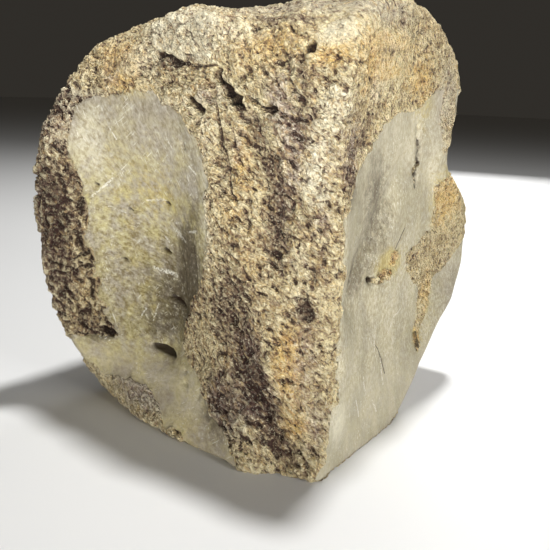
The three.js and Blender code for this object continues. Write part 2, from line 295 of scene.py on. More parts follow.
# Dark manganese-brown bone, and painted shade: the shadowed left rim, the shaded lower waist, the
# trough down the +X face and the low facet that faces away from the light.
ZONES["stain"] = (
    ((16, -46, 106), (4, 6, 3), 0.6), ((23, -48, 100), (4, 6, 3), 0.8),
    ((19, -48, 90), (2.5, 6, 6), 0.5), ((21, -49, 81), (2.5, 6, 6), 0.6),
    ((-4, -44, 111), (7, 6, 2.2), 0.9), ((9, -47, 100), (3, 6, 2.5), 0.7),
    ((38, -44, 112), (5, 7, 4), 0.35), ((43, -48, 107), (5, 6, 5), 0.5),
    ((44, -48, 99), (4, 6, 6), 0.5), ((42, -48, 93), (3.5, 6, 5), 0.5),
    ((30, -48, 93), (4, 6, 5), 0.7), ((36, -49, 85), (4, 6, 5), 0.9),
    ((38, -48, 77), (4, 6, 5), 0.9), ((37, -47, 68), (5, 6, 6), 0.8),
    ((38, -48, 60), (4, 6, 4), 0.6), ((27, -51, 50), (9, 7, 6), 0.55),
    ((21, -49, 42), (7, 7, 7), 0.6), ((30, -50, 37), (6, 7, 6), 0.65),
    ((30, -50, 29), (4.5, 6, 6), 1.8), ((34, -50, 21), (4.5, 6, 6), 1.7),
    ((38, -51, 14), (5, 6, 5), 1.0), ((43, -50, 7), (5, 6, 4), 0.8),
    ((45.5, -47, 47), (2.4, 5, 3.4), 1.5), ((52, -39, 85), (3, 4.5, 9), 1.1),
    ((51, -31, 93), (4, 5, 5), 0.8), ((20, -50, 47), (9, 8, 12), 0.3),
    ((24, -50, 64), (7, 7, 8), 0.3), ((19, -51, 27), (7, 8, 12), 0.25),
    ((47, -47, 70), (4, 6, 5), 0.4), ((50, -45, 60), (3, 6, 7), 0.45),
    ((50, -26, 99), (5, 5, 4), 0.4), ((52, -24, 116), (4, 9, 1.6), 0.55),
    ((-47, -57, 61), (5, 9, 10), 0.9), ((-52, -47, 64), (7, 10, 24), 2.0),
    ((-51, -46, 38), (7, 10, 18), 1.6), ((-50, -48, 94), (4, 8, 10), 1.0),
    ((-47, -56, 72), (6, 9, 12), 0.9), ((-48, -54, 60), (6, 9, 10), 0.6),
    ((-46, -50, 104), (5, 8, 5), 0.45), ((-36, -46, 24), (4, 8, 3), 0.7),
    ((-47, -55, 74), (5, 8, 6), 0.6), ((-45, -53, 46), (3, 8, 10), 0.8),
    ((-41, -49, 27), (3, 8, 6), 0.7), ((51, 9, 87), (3, 1.4, 8), 0.7),
    ((52, -12, 50), (4, 6, 3), 0.25), ((52, -16, 72), (5, 11, 17), 0.75),
    ((52, -28, 54), (5, 8, 7), 0.7), ((-36, -45, 21), (5, 8, 2.5), 0.6),
    ((1, -42, 52), (7, 9, 12), 1.3), ((-6, -40, 38), (12, 8, 7), 0.9),
    ((-14, -38, 27), (14, 8, 6), 0.6), ((-14, -40, 46), (16, 9, 12), 0.4),
    ((6, -43, 70), (4, 9, 9), 0.5), ((21, -53, 14), (7, 8, 9), 1.0),
    ((32, -40, 122.4), (12, 5, 1.1), 1.2), ((-27, -43, 110), (5, 6, 2), 0.4),
    ((-14, -45, 108), (4, 6, 2), 0.45),
)

# Ochre and orange iron stain.
ZONES["rust"] = (
    ((51, -34, 115.5), (6, 10, 4), 0.9), ((-22, -45, 106), (9, 6, 5), 0.8),
    ((-29, -41, 113), (12, 8, 6), 0.8), ((25, -49, 85), (4, 6, 8), 0.75),
    ((27, -48, 95), (3, 6, 4), 0.4), ((22, -50, 72), (4, 6, 6), 0.5),
    ((34, -44, 117), (10, 7, 5), 0.6), ((49, -44, 113), (5, 7, 3), 0.9),
    ((26, -47, 112), (9, 6, 6), 0.45), ((53, -24, 111), (5, 11, 2.6), 1.9),
    ((52, -34, 106), (5, 8, 3), 0.5), ((52, -20, 118), (5, 16, 3), 1.0),
    ((53, 2, 110), (5, 8, 6), 0.9), ((52, 10, 101), (5, 7, 7), 0.5),
    ((42, -48, 38), (4, 6, 6), 0.8), ((43, -50, 28), (4.5, 6, 8), 1.0),
    ((46, -49, 14), (4, 6, 5), 0.9), ((45, -48, 55), (4, 6, 5), 0.3),
    ((51, -7, 54), (3, 7, 4), 1.8), ((54, 30, 72), (6, 9, 12), 0.9),
    ((52, 24, 38), (4, 3.5, 9), 0.7), ((53, 17, 24), (4, 2.5, 4), 0.9),
    ((0, -43, 118), (10, 8, 4), 0.3), ((-45, -52, 93), (5, 8, 5), 0.3),
    ((-42, -51, 30), (4, 8, 10), 0.4), ((-44, -52, 50), (4, 8, 8), 0.3),
    ((30, -50, 58), (6, 6, 6), 0.4), ((-26, -41, 60.5), (1.6, 6, 2.4), 1.0),
    ((-14, -42, 72), (12, 8, 10), 0.5), ((-30, -43, 70), (3, 6, 2), 0.5),
    ((-22, -42, 52), (10, 8, 4), 0.3), ((-30, -45, 84), (5, 6, 8), 0.2),
    ((10, -55, 5), (8, 6, 5), 0.6), ((-24, -44, 16), (8, 8, 4), 0.3),
)

# Bright cream bone.
ZONES["chalk"] = (
    ((-7, -48, 14), (12, 8, 4.5), 0.6), ((-2, -40, 122), (16, 12, 5), 0.8),
    ((-18, -44, 111), (14, 7, 6), 0.6), ((4, -45, 120), (8, 8, 5), 0.9),
    ((8, -45, 114), (7, 6, 3), 0.8), ((20, -44, 119), (8, 8, 4), 0.4),
    ((-8, -42, 118), (7, 6, 5), 0.6), ((49, -44, 118), (6, 5, 2.5), 0.8),
    ((51, -45, 102), (5, 5, 6), 0.8), ((48, -47, 89), (4, 6, 8), 0.9),
    ((48, -47, 79), (4, 6, 5), 0.6), ((49, -40, 120), (5, 6, 4), 0.5),
    ((53, -22, 106), (4, 14, 4), 0.5), ((51, -20, 117), (6, 16, 6), 0.55),
    ((44, -48, 62), (5, 6, 6), 0.45), ((44, -47, 50), (5, 6, 6), 0.35),
    ((12, -49, 78), (3, 6, 14), 0.5), ((13, -49, 62), (3, 6, 10), 0.6),
    ((14, -47, 94), (4, 6, 5), 0.4), ((-37, -46, 90), (7, 8, 12), 0.5),
    ((-34, -45, 76), (7, 8, 8), 0.25), ((54, -40, 14), (4, 6, 7), 0.8),
    ((9, -52, 10), (7, 8, 9), 0.55), ((54, -28, 100), (3, 3, 10), 0.3),
    ((-47, -54, 88), (4, 8, 6), 0.4), ((25, -46, 97), (3, 6, 3), 0.4),
)

# Purplish grey bone.
ZONES["plum"] = (
    ((36, -48, 102), (4, 6, 7), 0.8), ((41, -48, 94), (4, 6, 6), 0.9),
    ((42, -48, 84), (3.5, 6, 6), 0.7), ((38, -48, 74), (4, 6, 8), 0.5),
    ((52, -40, 90), (4, 5, 9), 0.9), ((50, -45, 72), (3, 5, 6), 0.6),
    ((12, -48, 103), (7, 6, 4), 0.6), ((24, -49, 90), (3, 6, 6), 0.5),
    ((-30, -46, 107), (5, 6, 2.5), 0.5), ((30, -50, 34), (5, 6, 8), 0.7),
    ((35, -50, 20), (6, 6, 8), 0.8), ((22, -52, 16), (8, 7, 8), 0.7),
    ((47, -48, 34), (4, 5, 14), 0.6), ((51, -45, 14), (3, 5, 8), 0.6),
    ((-50, -50, 82), (5, 8, 12), 0.5), ((44, -42, 110), (6, 6, 4), 0.5),
    ((-14, -49, 9), (14, 9, 7), 0.8),
)

# Finer, gentler spongy bone.
ZONES["mild"] = (
    ((54, 33, 64), (9, 14, 16), 1.0), ((52, 22, 42), (6, 8, 12), 0.8),
    ((52, 18, 26), (6, 5, 8), 0.7), ((54, 22, 100), (8, 8, 18), 0.8),
    ((53, -12, 110), (8, 16, 7), 0.9), ((50, -28, 120), (8, 14, 6), 0.8),
    ((40, -36, 124), (16, 12, 5), 0.6), ((48, -44, 117.5), (5, 5, 3), 1.6),
    ((53, -20, 111), (4, 8, 2.5), 0.8), ((-18, -50, 7), (20, 10, 7), 0.9),
    ((-8, -44, 102), (26, 6, 3.5), 0.6), ((22, -53, 14), (9, 8, 9), 0.3),
)

# Grey bone and greyish skin; the places on the lower waist and on the low facet also stand for
# painted shade.
ZONES["ash"] = (
    ((48, -30, 127), (20, 12, 4), 0.6), ((20, -30, 126), (22, 12, 5), 0.7),
    ((53, 21, 104), (6, 8, 16), 0.8), ((54, -16, 127), (6, 20, 5), 0.6),
    ((-10, -47, 98), (14, 8, 4), 0.8), ((-36, -46, 101), (8, 8, 3), 0.6),
    ((7, -48, 78), (3.5, 8, 16), 0.65), ((0, -43, 54), (5, 8, 12), 0.7),
    ((-8, -40, 42), (6, 8, 9), 0.6), ((51, -20, 76), (5, 12, 12), 0.35),
    ((-6, -50, 7), (12, 8, 4), 0.9), ((-28, -47, 11), (7, 8, 4), 0.8),
    ((27, -52, 14), (9, 7, 9), 0.6), ((54, 40, 36), (6, 8, 16), 0.7),
    ((22, -53, 7), (10, 6, 5), 0.4), ((-46, -52, 96), (6, 8, 10), 1.1),
    ((-51, -50, 60), (7, 9, 40), 0.6), ((27, -48, 96), (3, 6, 3), 0.6),
    ((52, -38, 84), (3, 6, 8), 0.3),
)

# Seed and strength of the same patches where none is listed: the back, the left end and the top.
SCATTERED = {"stain": (510, 0.7), "rust": (520, 0.7), "chalk": (530, 0.6), "mild": (540, 0.6),
             "ash": (550, 0.8), "plum": (560, 0.6)}
SCATTERED_SIZE, SCATTERED_STRETCH = 24, (1, 1, 0.7)

# Where those begin and where they are whole: Y of the back, X behind the +X face, X of the end.
BACK_FADE, FACE_FADE, END_FADE = (-22, 2), (47, 40), (-46, -52)


def zone_field(points, name):
    """How strongly a patch of colour lies on each point, from 0."""
    x, y, _ = points.T
    behind = smoothstep(*BACK_FADE, y) * smoothstep(*FACE_FADE, x)
    elsewhere = np.maximum(behind, smoothstep(*END_FADE, x))
    seed, strength = SCATTERED[name]
    patches = fractal(points * SCATTERED_STRETCH, SCATTERED_SIZE, seed, gain=0.6)
    return blobs(points, ZONES[name]) + strength * elsewhere * smoothstep(0.05, 0.4, patches)


# ---------------------------------------- relief

STROKE = (0.8, 0, -0.6)         # the grain of the spongy bone on the -Y side
RIM_STROKE = (0.35, 0, -0.94)   # and on its left rim
RIM_X, RIM_Y = (-34, -39), (-32, -42)   # where that rim begins and where it is whole

# Where the spongy bone is rougher, and where it has nodules: place, reach and strength.
ROUGHER = (((16, -49, 52), (9, 8, 24), 0.3),)
NODULES = (((-3, -40, 121), (20, 12, 7), 1.0), ((-24, -42, 112), (10, 8, 6), 0.6))
NODULE_SIZE, NODULE_HEIGHT = 4.2, 1.3

# The height of the smooth skin's own unevenness, broad and fine.
SWELL, RIPPLE = 0.16, 0.03

# The shallow trough down the +X face.
TROUGH = ((53, 2, 84), (52, -12, 70), (52, -24, 58), (53, -32, 48))
TROUGH_DEPTH, TROUGH_WIDTH = 2.2, 4.5

# The groove along the left edge of the waist's skin, and the wear of the rim beside it: where
# each begins and where it is whole.
GROOVE_DEPTH, GROOVE_PLACE, GROOVE_WIDTH = 1.7, 1.4, 1.0
GROOVE_X, GROOVE_TOP = (-30, -34), (94, 82)
WEAR_DEPTH, WEAR_INSIDE, WEAR_X, WEAR_BOTTOM = 0.7, (-5.5, -0.4), (-10, -25), (22, 30)

# Small openings: the axis each one goes in along, its ends, its half width and its depth.
OPENINGS = (
    ("+y", (-37, 0, 73.6), (-35.6, 0, 73), 0.55, 2.0),
    ("+y", (-11, 0, 69.6), (-8, 0, 69.3), 0.7, 2.0),
    ("+y", (-26.9, 0, 66), (-25.2, 0, 65.7), 0.45, 1.2),
    ("+y", (-15, 0, 53.6), (-11.4, 0, 52.8), 0.9, 2.2),
    ("+y", (-31.3, 0, 48.4), (-29, 0, 47.7), 0.6, 1.8),
    ("+y", (1.2, 0, 89), (2.2, 0, 87.6), 0.9, 1.5),
    ("+y", (-13, 0, 37.8), (-4.4, 0, 36), 0.9, 3.0),
    ("+y", (-16.8, 0, 20.4), (-7.4, 0, 18.8), 1.3, 4.5),
    ("+y", (0.6, 0, 17.4), (2.4, 0, 17), 0.6, 1.0),
    ("+y", (2.4, 0, 14.6), (5, 0, 14.2), 0.5, 1.0),
    ("+y", (-35.8, 0, 24), (-32.2, 0, 21.4), 1.2, 2.4),
    ("+y", (42.6, 0, 115.2), (43.6, 0, 114.6), 1.7, 1.6),
    ("+y", (45.2, 0, 49.2), (46.4, 0, 44.6), 2.1, 1.1),
    ("-x", (0, -18.8, 51.4), (0, -15.8, 50), 1.1, 2.6),
    ("-x", (0, 9.8, 83), (0, 8.6, 77.4), 0.9, 2.8),
    ("-y", (-13, 0, 49), (-7.6, 0, 47.4), 1.3, 4.0),
    ("-y", (4.6, 0, 57), (8.2, 0, 56.4), 0.9, 2.8),
    ("-y", (-24, 0, 68), (-22, 0, 67.4), 0.8, 2.2),
    ("-y", (-19, 0, 33), (-17, 0, 33.6), 0.7, 2.0),
    ("+x", (0, -6, 66), (0, -2, 64), 1.2, 3.0),
    ("+x", (0, 12, 44), (0, 14, 46), 0.9, 2.4),
)

# Narrow cracks and crevices: the axis each one goes in along, its half width and depth, and its
# route across that axis.
CRACKS = (
    ("+y", 1.5, 4.4, ((14.5, 0, 108), (19, 0, 104), (24, 0, 100))),
    ("+y", 1.0, 3.0, ((22, 0, 101), (29, 0, 101.5), (34, 0, 99.5))),
    ("+y", 1.2, 3.2, ((5, 0, 101.5), (8, 0, 99.5), (11, 0, 97.5))),
    ("+y", 0.6, 1.6, ((13.5, 0, 103), (17, 0, 98), (19, 0, 90), (21, 0, 84), (21.5, 0, 79))),
    ("+y", 0.7, 1.8, ((21, 0, 83), (22, 0, 78), (25, 0, 74))),
    ("+y", 1.2, 2.4, ((-12, 0, 113.5), (-6, 0, 112), (-2, 0, 111.5))),
    ("+y", 0.7, 1.4, ((-2, 0, 112), (5, 0, 110.5), (13, 0, 110))),
    ("-x", 0.6, 1.6, ((0, 6.7, 96), (0, 9, 87), (0, 8, 79))),
    ("-x", 0.6, 1.2, ((0, 19, 30), (0, 17, 25), (0, 16, 20))),
)

# For an axis that something goes in along: what is left of a place across it.
FLAT = {"x": np.array((0, 1, 1)), "y": np.array((1, 0, 1))}


def on_side(points, into):
    """Whether each point is on the side of the bone that something enters, going into it."""
    place = points[:, "xy".index(into[1])]
    return place < 0 if into[0] == "+" else place > 0


def opening_depth(points, into, start, end, width, depth):
    """Depth of a small opening with a crisp edge, at each point."""
    start, end = np.array(start, float), np.array(end, float)
    length = np.linalg.norm(end - start)
    reach = length / 2 + width * 0.6
    offset = points * FLAT[into[1]] - (start + end) / 2
    along = offset @ ((end - start) / length)
    across = np.sqrt(np.maximum((offset ** 2).sum(axis=1) - along ** 2, 0))
    radius = np.hypot(along / reach, across / width)
    return depth * smoothstep(1.2, 0.6, radius) * on_side(points, into)


def crack_depth(points):
    """How far down a crack or crevice each point lies, their sides ragged and uneven in depth."""
    total = np.zeros(len(points))
    ragged = warped(warped(points, 6, 0.9, seed=405), 2.2, 0.9, seed=400)
    uneven = smoothstep(-0.8, -0.1, lumps(points, 3.5, seed=408))
    for into, width, depth, route in CRACKS:
        near = smoothstep(1.5, 0.2, route_distance(ragged * FLAT[into[1]], route) / width)
        total += depth * near * uneven * on_side(points, into)
    return total


def pits(points, size, seed, share):
    """Rounded pits of uneven size from 0, none, to 1, deepest. A share of the cells has one."""
    nearest, _, chance = cells(warped(points, size * 1.7, 0.35 * size, seed + 50), size, seed)
    reach = 0.28 + 0.38 * ((chance * 13.7) % 1)
    return smoothstep(reach, 0.3 * reach, nearest) * (chance < share)


def grains(points, size, seed):
    """Rounded grains, 1 on their tops and 0 in the sharp creases between them."""
    noise = lumps(warped(points, size * 0.9, 0.3 * size, seed + 60), size, seed)
    return np.minimum(np.abs(noise) / 0.4, 1) ** 0.8


def clods(points, size, seed):
    """Broken crumbs of uneven height: 0 in the gaps between them, at most 1 on their tops."""
    nearest, second, chance = cells(warped(points, size, 0.3 * size, seed + 70), size, seed)
    return (0.4 + 0.6 * ((chance * 7.7) % 1)) * smoothstep(0, 0.4, second - nearest)


def sponge_relief(points):
    """The relief of bare spongy bone: crumbs, pores and short strokes along its grain."""
    stain, chalk, mild = (np.clip(zone_field(points, name), 0, 1)
                          for name in ("stain", "chalk", "mild"))
    rim = smoothstep(*RIM_X, points[:, 0]) * smoothstep(*RIM_Y, points[:, 1])
    vigour = (0.9 + 0.4 * stain - 0.15 * chalk + 0.55 * rim) * (1 - 0.65 * mild)
    vigour += blobs(points, ROUGHER)
    share = rim[:, None]
    grain = (share * stretched(points, RIM_STROKE, 1.8)
             + (1 - share) * stretched(points, STROKE, 2.0))
    crumbs = (0.5 * np.maximum(grains(grain, 2.8, seed=220), grains(grain, 2.8, seed=225))
              + 0.5 * np.maximum(grains(grain, 1.6, seed=230), grains(grain, 1.6, seed=235))
              + 0.4 * clods(grain, 2.2, seed=240) + 0.3 * clods(grain, 1.3, seed=250))
    drawn = stretched(warped(points, 4, 1.2, seed=215), STROKE, 2.6)
    strokes = np.clip(1 - np.abs(lumps(drawn, 3.0, seed=216)) / 0.34, 0, 1)
    strokes *= smoothstep(-0.25, 0.2, lumps(points, 3.4, seed=218))
    strokes *= smoothstep(-0.35, 0.2, fractal(points, 6, seed=217, octaves=2) + 0.6 * stain
                          - 0.3 * chalk)
    porous = 0.26 + 0.16 * stain - 0.1 * chalk + 0.14 * fractal(points, 12, seed=275, octaves=2)
    holes = pits(grain, 2.3, seed=100, share=porous)
    ground = fractal(points, 6.5, seed=250, gain=0.6)
    rise = vigour * (crumbs - 1.2 * holes - 1.2 * strokes - 1.1) + 0.8 * ground + 0.6
    knobs = NODULE_HEIGHT * (clods(points, NODULE_SIZE, seed=260) - 0.5)
    return rise + blobs(points, NODULES) * knobs


def rim_wear(points, normals, near_skin):
    """How much is worn off the left rim: a groove along the edge of the skin, and the rim's
    whole surface beside it."""
    x, _, height = points.T
    facing = smoothstep(0.25, 0.6, -normals[:, 1]) * smoothstep(*WEAR_BOTTOM, height)
    beside = smoothstep(*WEAR_INSIDE, near_skin) * (near_skin < 0) * smoothstep(*WEAR_X, x)
    groove = np.exp(-((near_skin + GROOVE_PLACE) / GROOVE_WIDTH) ** 2) * smoothstep(*GROOVE_X, x)
    groove *= smoothstep(*GROOVE_TOP, height) * (0.5 + 1.6 * lumps(points, 5, seed=420))
    return facing * (WEAR_DEPTH * beside + GROOVE_DEPTH * np.maximum(groove, 0))


def relief(points, normals):
    """The fine relief: its rise along the normals, how far each point is sunk straight in along
    X and Y by an opening, how far down a crack it lies, and how far inside the edge of smooth
    skin."""
    near_skin, far_skin, face_skin = skin_depth(points, normals)
    skin_field = np.maximum(np.maximum(near_skin, far_skin), face_skin)
    skin = smoothstep(-0.35, 0.35, skin_field)
    rise = (1 - skin) * (sponge_relief(points) - rim_wear(points, normals, near_skin))
    rise += skin * (SWELL * fractal(points, 9, seed=310)
                    + RIPPLE * fractal(points, 2, seed=340, octaves=2))
    trough = np.exp(-(route_distance(points, TROUGH) / TROUGH_WIDTH) ** 2)
    rise -= TROUGH_DEPTH * trough * smoothstep(0.6, 0.85, normals[:, 0])
    cleft = crack_depth(points)

    sunk = np.zeros((len(points), 3))
    for opening in OPENINGS:
        sign, axis = opening[0]
        depth = opening_depth(points, *opening)
        sunk[:, "xy".index(axis)] += depth if sign == "+" else -depth
    return rise - cleft, sunk, cleft, skin_field


# ---------------------------------------- material

# The colour sockets of a Mix node, whose other sockets have the same names.
MIX_A, MIX_B, MIX_RESULT = 6, 7, 2


class Graph:
    """Short ways to add shader nodes to a material. Values are sockets, numbers or tuples."""

    def __init__(self, material):
        material.use_nodes = True
        self.tree = material.node_tree
        self.shader = self.tree.nodes["Principled BSDF"]
        self.place = self.vector("SCALE", self.add("TexCoord").outputs["Object"], scale=1 / MM)
        self.x, self.y, self.z = self.add("SeparateXYZ", {0: self.place}).outputs

    def add(self, kind, inputs=(), **settings):
        node = self.tree.nodes.new("ShaderNode" + kind)
        for name, value in settings.items():
            setattr(node, name, value)
        for name, value in dict(inputs).items():
            self.feed(node.inputs[name], value)
        return node

    def feed(self, socket, value):
        if isinstance(value, bpy.types.NodeSocket):
            self.tree.links.new(value, socket)
        else:
            socket.default_value = value

    def math(self, operation, a, b=0.0, c=0.0, clamp=False):
        node = self.add("Math", {0: a, 1: b, 2: c}, operation=operation, use_clamp=clamp)
        return node.outputs[0]

    def times(self, value, *others):
        """Values multiplied together."""
        for other in others:
            value = self.math("MULTIPLY", value, other)
        return value

    def total(self, start, *parts):
        """A value with others added to it, each one given with its weight."""
        for value, weight in parts:
            start = self.math("MULTIPLY_ADD", value, weight, start)
        return start

    def step(self, value, low, high, to_low=0.0, to_high=1.0):
        """An even ramp from one value to another between the low and the high input."""
        node = self.add("MapRange", {0: value, 1: low, 2: high, 3: to_low, 4: to_high},
                        interpolation_type="SMOOTHSTEP")
        return node.outputs[0]

    def blend(self, factor, a, b):
        return self.add("Mix", {"Factor": factor, "A": a, "B": b}, data_type="FLOAT").outputs[0]

    def mix(self, factor, a, b, blend="MIX"):
        """Colour a, with a share of colour b."""
        node = self.add("Mix", {"Factor": factor}, data_type="RGBA", blend_type=blend)
        self.feed(node.inputs[MIX_A], a)
        self.feed(node.inputs[MIX_B], b)
        return node.outputs[MIX_RESULT]

    def laid_over(self, below, layers):
        """A colour with more laid over it in turn: the pattern, strength and colour of each."""
        for pattern, strength, above in layers:
            below = self.mix(self.times(pattern, strength), below, above)
        return below

    def vector(self, operation, a, b=(0, 0, 0), scale=1.0, output="Vector"):
        node = self.add("VectorMath", {0: a, 1: b}, operation=operation)
        if operation == "SCALE":
            self.feed(node.inputs["Scale"], scale)
        return node.outputs[output]

    def noise(self, place, size, detail=2.0, roughness=0.55, output=0):
        node = self.add("TexNoise", {"Vector": place, "Scale": 1 / size, "Detail": detail,
                                     "Roughness": roughness})
        return node.outputs[output]

    def moved(self, place, size, detail, amount):
        """Coordinates, moved about by smooth noise."""
        shift = self.vector("SUBTRACT", self.noise(place, size, detail, output=1), (0.5, 0.5, 0.5))
        return self.vector("ADD", place, self.vector("SCALE", shift, scale=amount))

    def drawn_out(self, place, turn, factor):
        """Coordinates whose textures are longer along a line in XZ, turned down from +X."""
        return self.add("Mapping", {"Vector": place, "Rotation": (0, math.radians(turn), 0),
                                    "Scale": (factor, 1, 1)}, vector_type="TEXTURE").outputs[0]

    def grains(self, place, size):
        """Rounded grains, 1 on their tops and 0 in the sharp creases between them."""
        away = self.total(-0.5, (self.noise(place, size, 1), 1))
        return self.math("MULTIPLY", self.math("ABSOLUTE", away), 6.0, clamp=True)

    def route_distance(self, place, start, end):
        """The distance to the straight line between two places."""
        start, end = Vector(start), Vector(end)
        step = end - start
        offset = self.vector("SUBTRACT", place, start)
        share = self.vector("DOT_PRODUCT", offset, step / step.length_squared, output="Value")
        foot = self.vector("SCALE", step, scale=self.math("MULTIPLY", share, 1.0, clamp=True))
        return self.vector("DISTANCE", offset, foot, output="Value")

    def field(self, name):
        """A value that the mesh carries at each of its points."""
        return self.add("Attribute", attribute_name=name).outputs["Fac"]


def palette(**colours):
    """Linear colours from ones as seen on a screen, 0 to 255."""
    return {name: tuple((value / 255) ** 2.2 for value in shades) + (1.0,)
            for name, shades in colours.items()}


# Colours of the spongy bone and of its patches, and the painted highlight on the tops of its
# crumbs and painted shade in their depths.
BONE = palette(
    tan=(188, 166, 122), cream=(236, 218, 168), ochre=(222, 184, 114), umber=(136, 108, 96),
    ash=(192, 182, 162), orange=(218, 168, 98), amber=(246, 206, 122), chalk=(244, 233, 200),
    plum=(154, 134, 130), stain=(96, 80, 70), darkest_stain=(46, 39, 35),
    pale_crumb=(240, 224, 180), brown_crumb=(140, 112, 88), ochre_crumb=(220, 180, 110),
    top=(243, 229, 188), chalk_top=(250, 241, 210), rust_top=(250, 218, 148),
    plum_top=(226, 212, 204), ash_top=(212, 204, 184), stain_top=(160, 150, 122),
    low=(120, 95, 84), lowest=(54, 38, 36), grit=(88, 64, 54), pore=(76, 54, 50),
)

# Colours of the smooth skin, of its patches and of the marks on it, and of painted shade on the
# waist, in hollows and in openings.
SKIN = palette(
    grey=(163, 156, 141), olive=(176, 167, 124), yellow=(180, 166, 106),
    face_grey=(164, 157, 136), face_beige=(188, 180, 156), chalk=(214, 208, 184),
    rust=(186, 166, 92), ash=(150, 142, 128), shade=(126, 112, 76), low_grey=(186, 172, 150),
    low_cream=(216, 202, 154), stain=(76, 67, 54), furrow=(180, 168, 138), fibre=(226, 221, 196),
    mottle=(146, 134, 112), speck=(110, 96, 74), scribe=(236, 233, 216), scratch=(236, 234, 220),
    fissure=(52, 40, 32), hollow=(50, 38, 30), opening=(45, 34, 25),
)

# How much the crumbs of the bone break up the edges of each kind of patch.
CRUMBLING = {"stain": 0.9, "chalk": 0.9, "ash": 0.9, "rust": 2.2, "plum": 1.6}

BUMP_DEPTH = 1.1
CRUMB_SIZE = 0.85
SPONGE_LEVEL = -0.625    # puts the middle height of the spongy pattern at 0
STROKE_TURN = math.degrees(math.atan2(-STROKE[2], STROKE[0]))

# White scratches on the skin and fine dark fissures: the axis across them, both ends, half width.
SCRATCHES = (
    ("y", (-37.7, 0, 69.1), (-30.2, 0, 75.8), 0.5), ("y", (-18.2, 0, 69.3), (-9.8, 0, 70.4), 0.45),
    ("y", (-8.5, 0, 62.6), (-3.4, 0, 59.0), 0.5), ("y", (-6.5, 0, 62.0), (-1.0, 0, 58.4), 0.45),
    ("y", (1.1, 0, 62.2), (7, 0, 63.6), 0.5), ("y", (4.0, 0, 82.5), (7.4, 0, 80.4), 0.4),
    ("y", (-19, 0, 46.6), (-14, 0, 45.6), 0.9), ("y", (-14, 0, 46.2), (-9, 0, 45.4), 0.9),
    ("y", (-17.5, 0, 34), (-18.5, 0, 28.5), 0.4), ("y", (-22, 0, 32), (-23.5, 0, 29), 0.4),
    ("y", (-11, 0, 56.5), (-13, 0, 58.5), 0.4), ("y", (-30, 0, 92), (-27, 0, 88), 0.35),
    ("y", (-33, 0, 66), (-27, 0, 64.4), 0.3), ("y", (-6, 0, 90), (-3.6, 0, 87), 0.4),
    ("x", (0, -10, 24), (0, -8.5, 15), 0.6), ("x", (0, -14.5, 33), (0, -14.2, 27), 0.4),
    ("x", (0, -22, 22), (0, -20.5, 15.5), 0.5), ("x", (0, -5, 31), (0, -1.5, 35.5), 0.35),
    ("x", (0, -27, 16), (0, -25.5, 10.5), 0.5), ("x", (0, -16, 12), (0, -14, 8), 0.5),
    ("x", (0, -1.5, 35.5), (0, 5, 37.5), 0.3), ("x", (0, -30, 66), (0, -33, 60), 0.4),
)
FISSURES = (
    ("y", (-4, 0, 55), (-1.6, 0, 41), 0.35), ("y", (5, 0, 58), (7.5, 0, 42), 0.35),
    ("y", (-26, 0, 66.2), (-24, 0, 65.4), 0.4),
    ("x", (0, -13.1, 29.2), (0, -10.2, 25.1), 0.35), ("x", (0, -10.2, 25.1), (0, -6.8, 18.2), 0.4),
    ("x", (0, 6.7, 95), (0, 8, 91), 0.4), ("x", (0, 8, 91), (0, 9.8, 84), 0.6),
    ("x", (0, 9.8, 84), (0, 8.4, 76.5), 1.0), ("x", (0, 17.2, 25.5), (0, 16.4, 20.5), 0.6),
    ("x", (0, -2.5, 58), (0, 2.5, 64), 0.4),
)


def sponge_pattern(g):
    """The fine net of the spongy bone, drawn out along its grain: its height, and its parts."""
    grain = g.moved(g.drawn_out(g.place, STROKE_TURN, 2.2), 1.6, 1, 1.2)
    elsewhere = g.vector("ADD", grain, (31.0, 17.0, 5.0))
    crumbs = g.math("MAXIMUM", g.grains(grain, 1.3), g.grains(elsewhere, 1.5))
    rubble = g.total(-0.5, (g.noise(grain, 1.2, 4, 0.8), 1))
    crumb = {"Vector": grain, "Scale": 1 / CRUMB_SIZE}
    gap = g.add("TexVoronoi", crumb, feature="DISTANCE_TO_EDGE").outputs["Distance"]
    colour = g.add("TexVoronoi", crumb).outputs["Color"]
    tints = g.add("SeparateColor", {0: colour}).outputs
    pore = g.step(g.noise(grain, 1.6, 2, 0.5), 0.41, 0.33)
    height = g.total(SPONGE_LEVEL, (crumbs, 0.6), (g.grains(grain, 0.7), 0.4),
                     (rubble, 1.5), (g.step(gap, 0.0, 0.25, -0.15, 0.05), 1), (tints[0], 0.25),
                     (pore, -0.5))
    return {"height": height, "rubble": rubble, "tints": tints, "pore": pore,
            "grit": g.noise(g.place, 0.8, 2, 0.6)}


def zone_patterns(g, rubble):
    """How strongly each patch of colour shows, with ragged edges."""
    ragged = g.total(-0.5, (g.noise(g.place, 3.2, 4, 0.65), 1))
    zone = {name: g.step(g.total(g.field(name), (ragged, 1), (rubble, share)), 0.1, 0.85)
            for name, share in CRUMBLING.items()}
    zone["mild"] = g.field("mild")
    # Where the painted shade and stain are strongest: the deep shade of the left rim and the
    # darkest streaks.
    zone["darkest"] = g.step(g.field("stain"), 0.9, 1.8)
    return zone


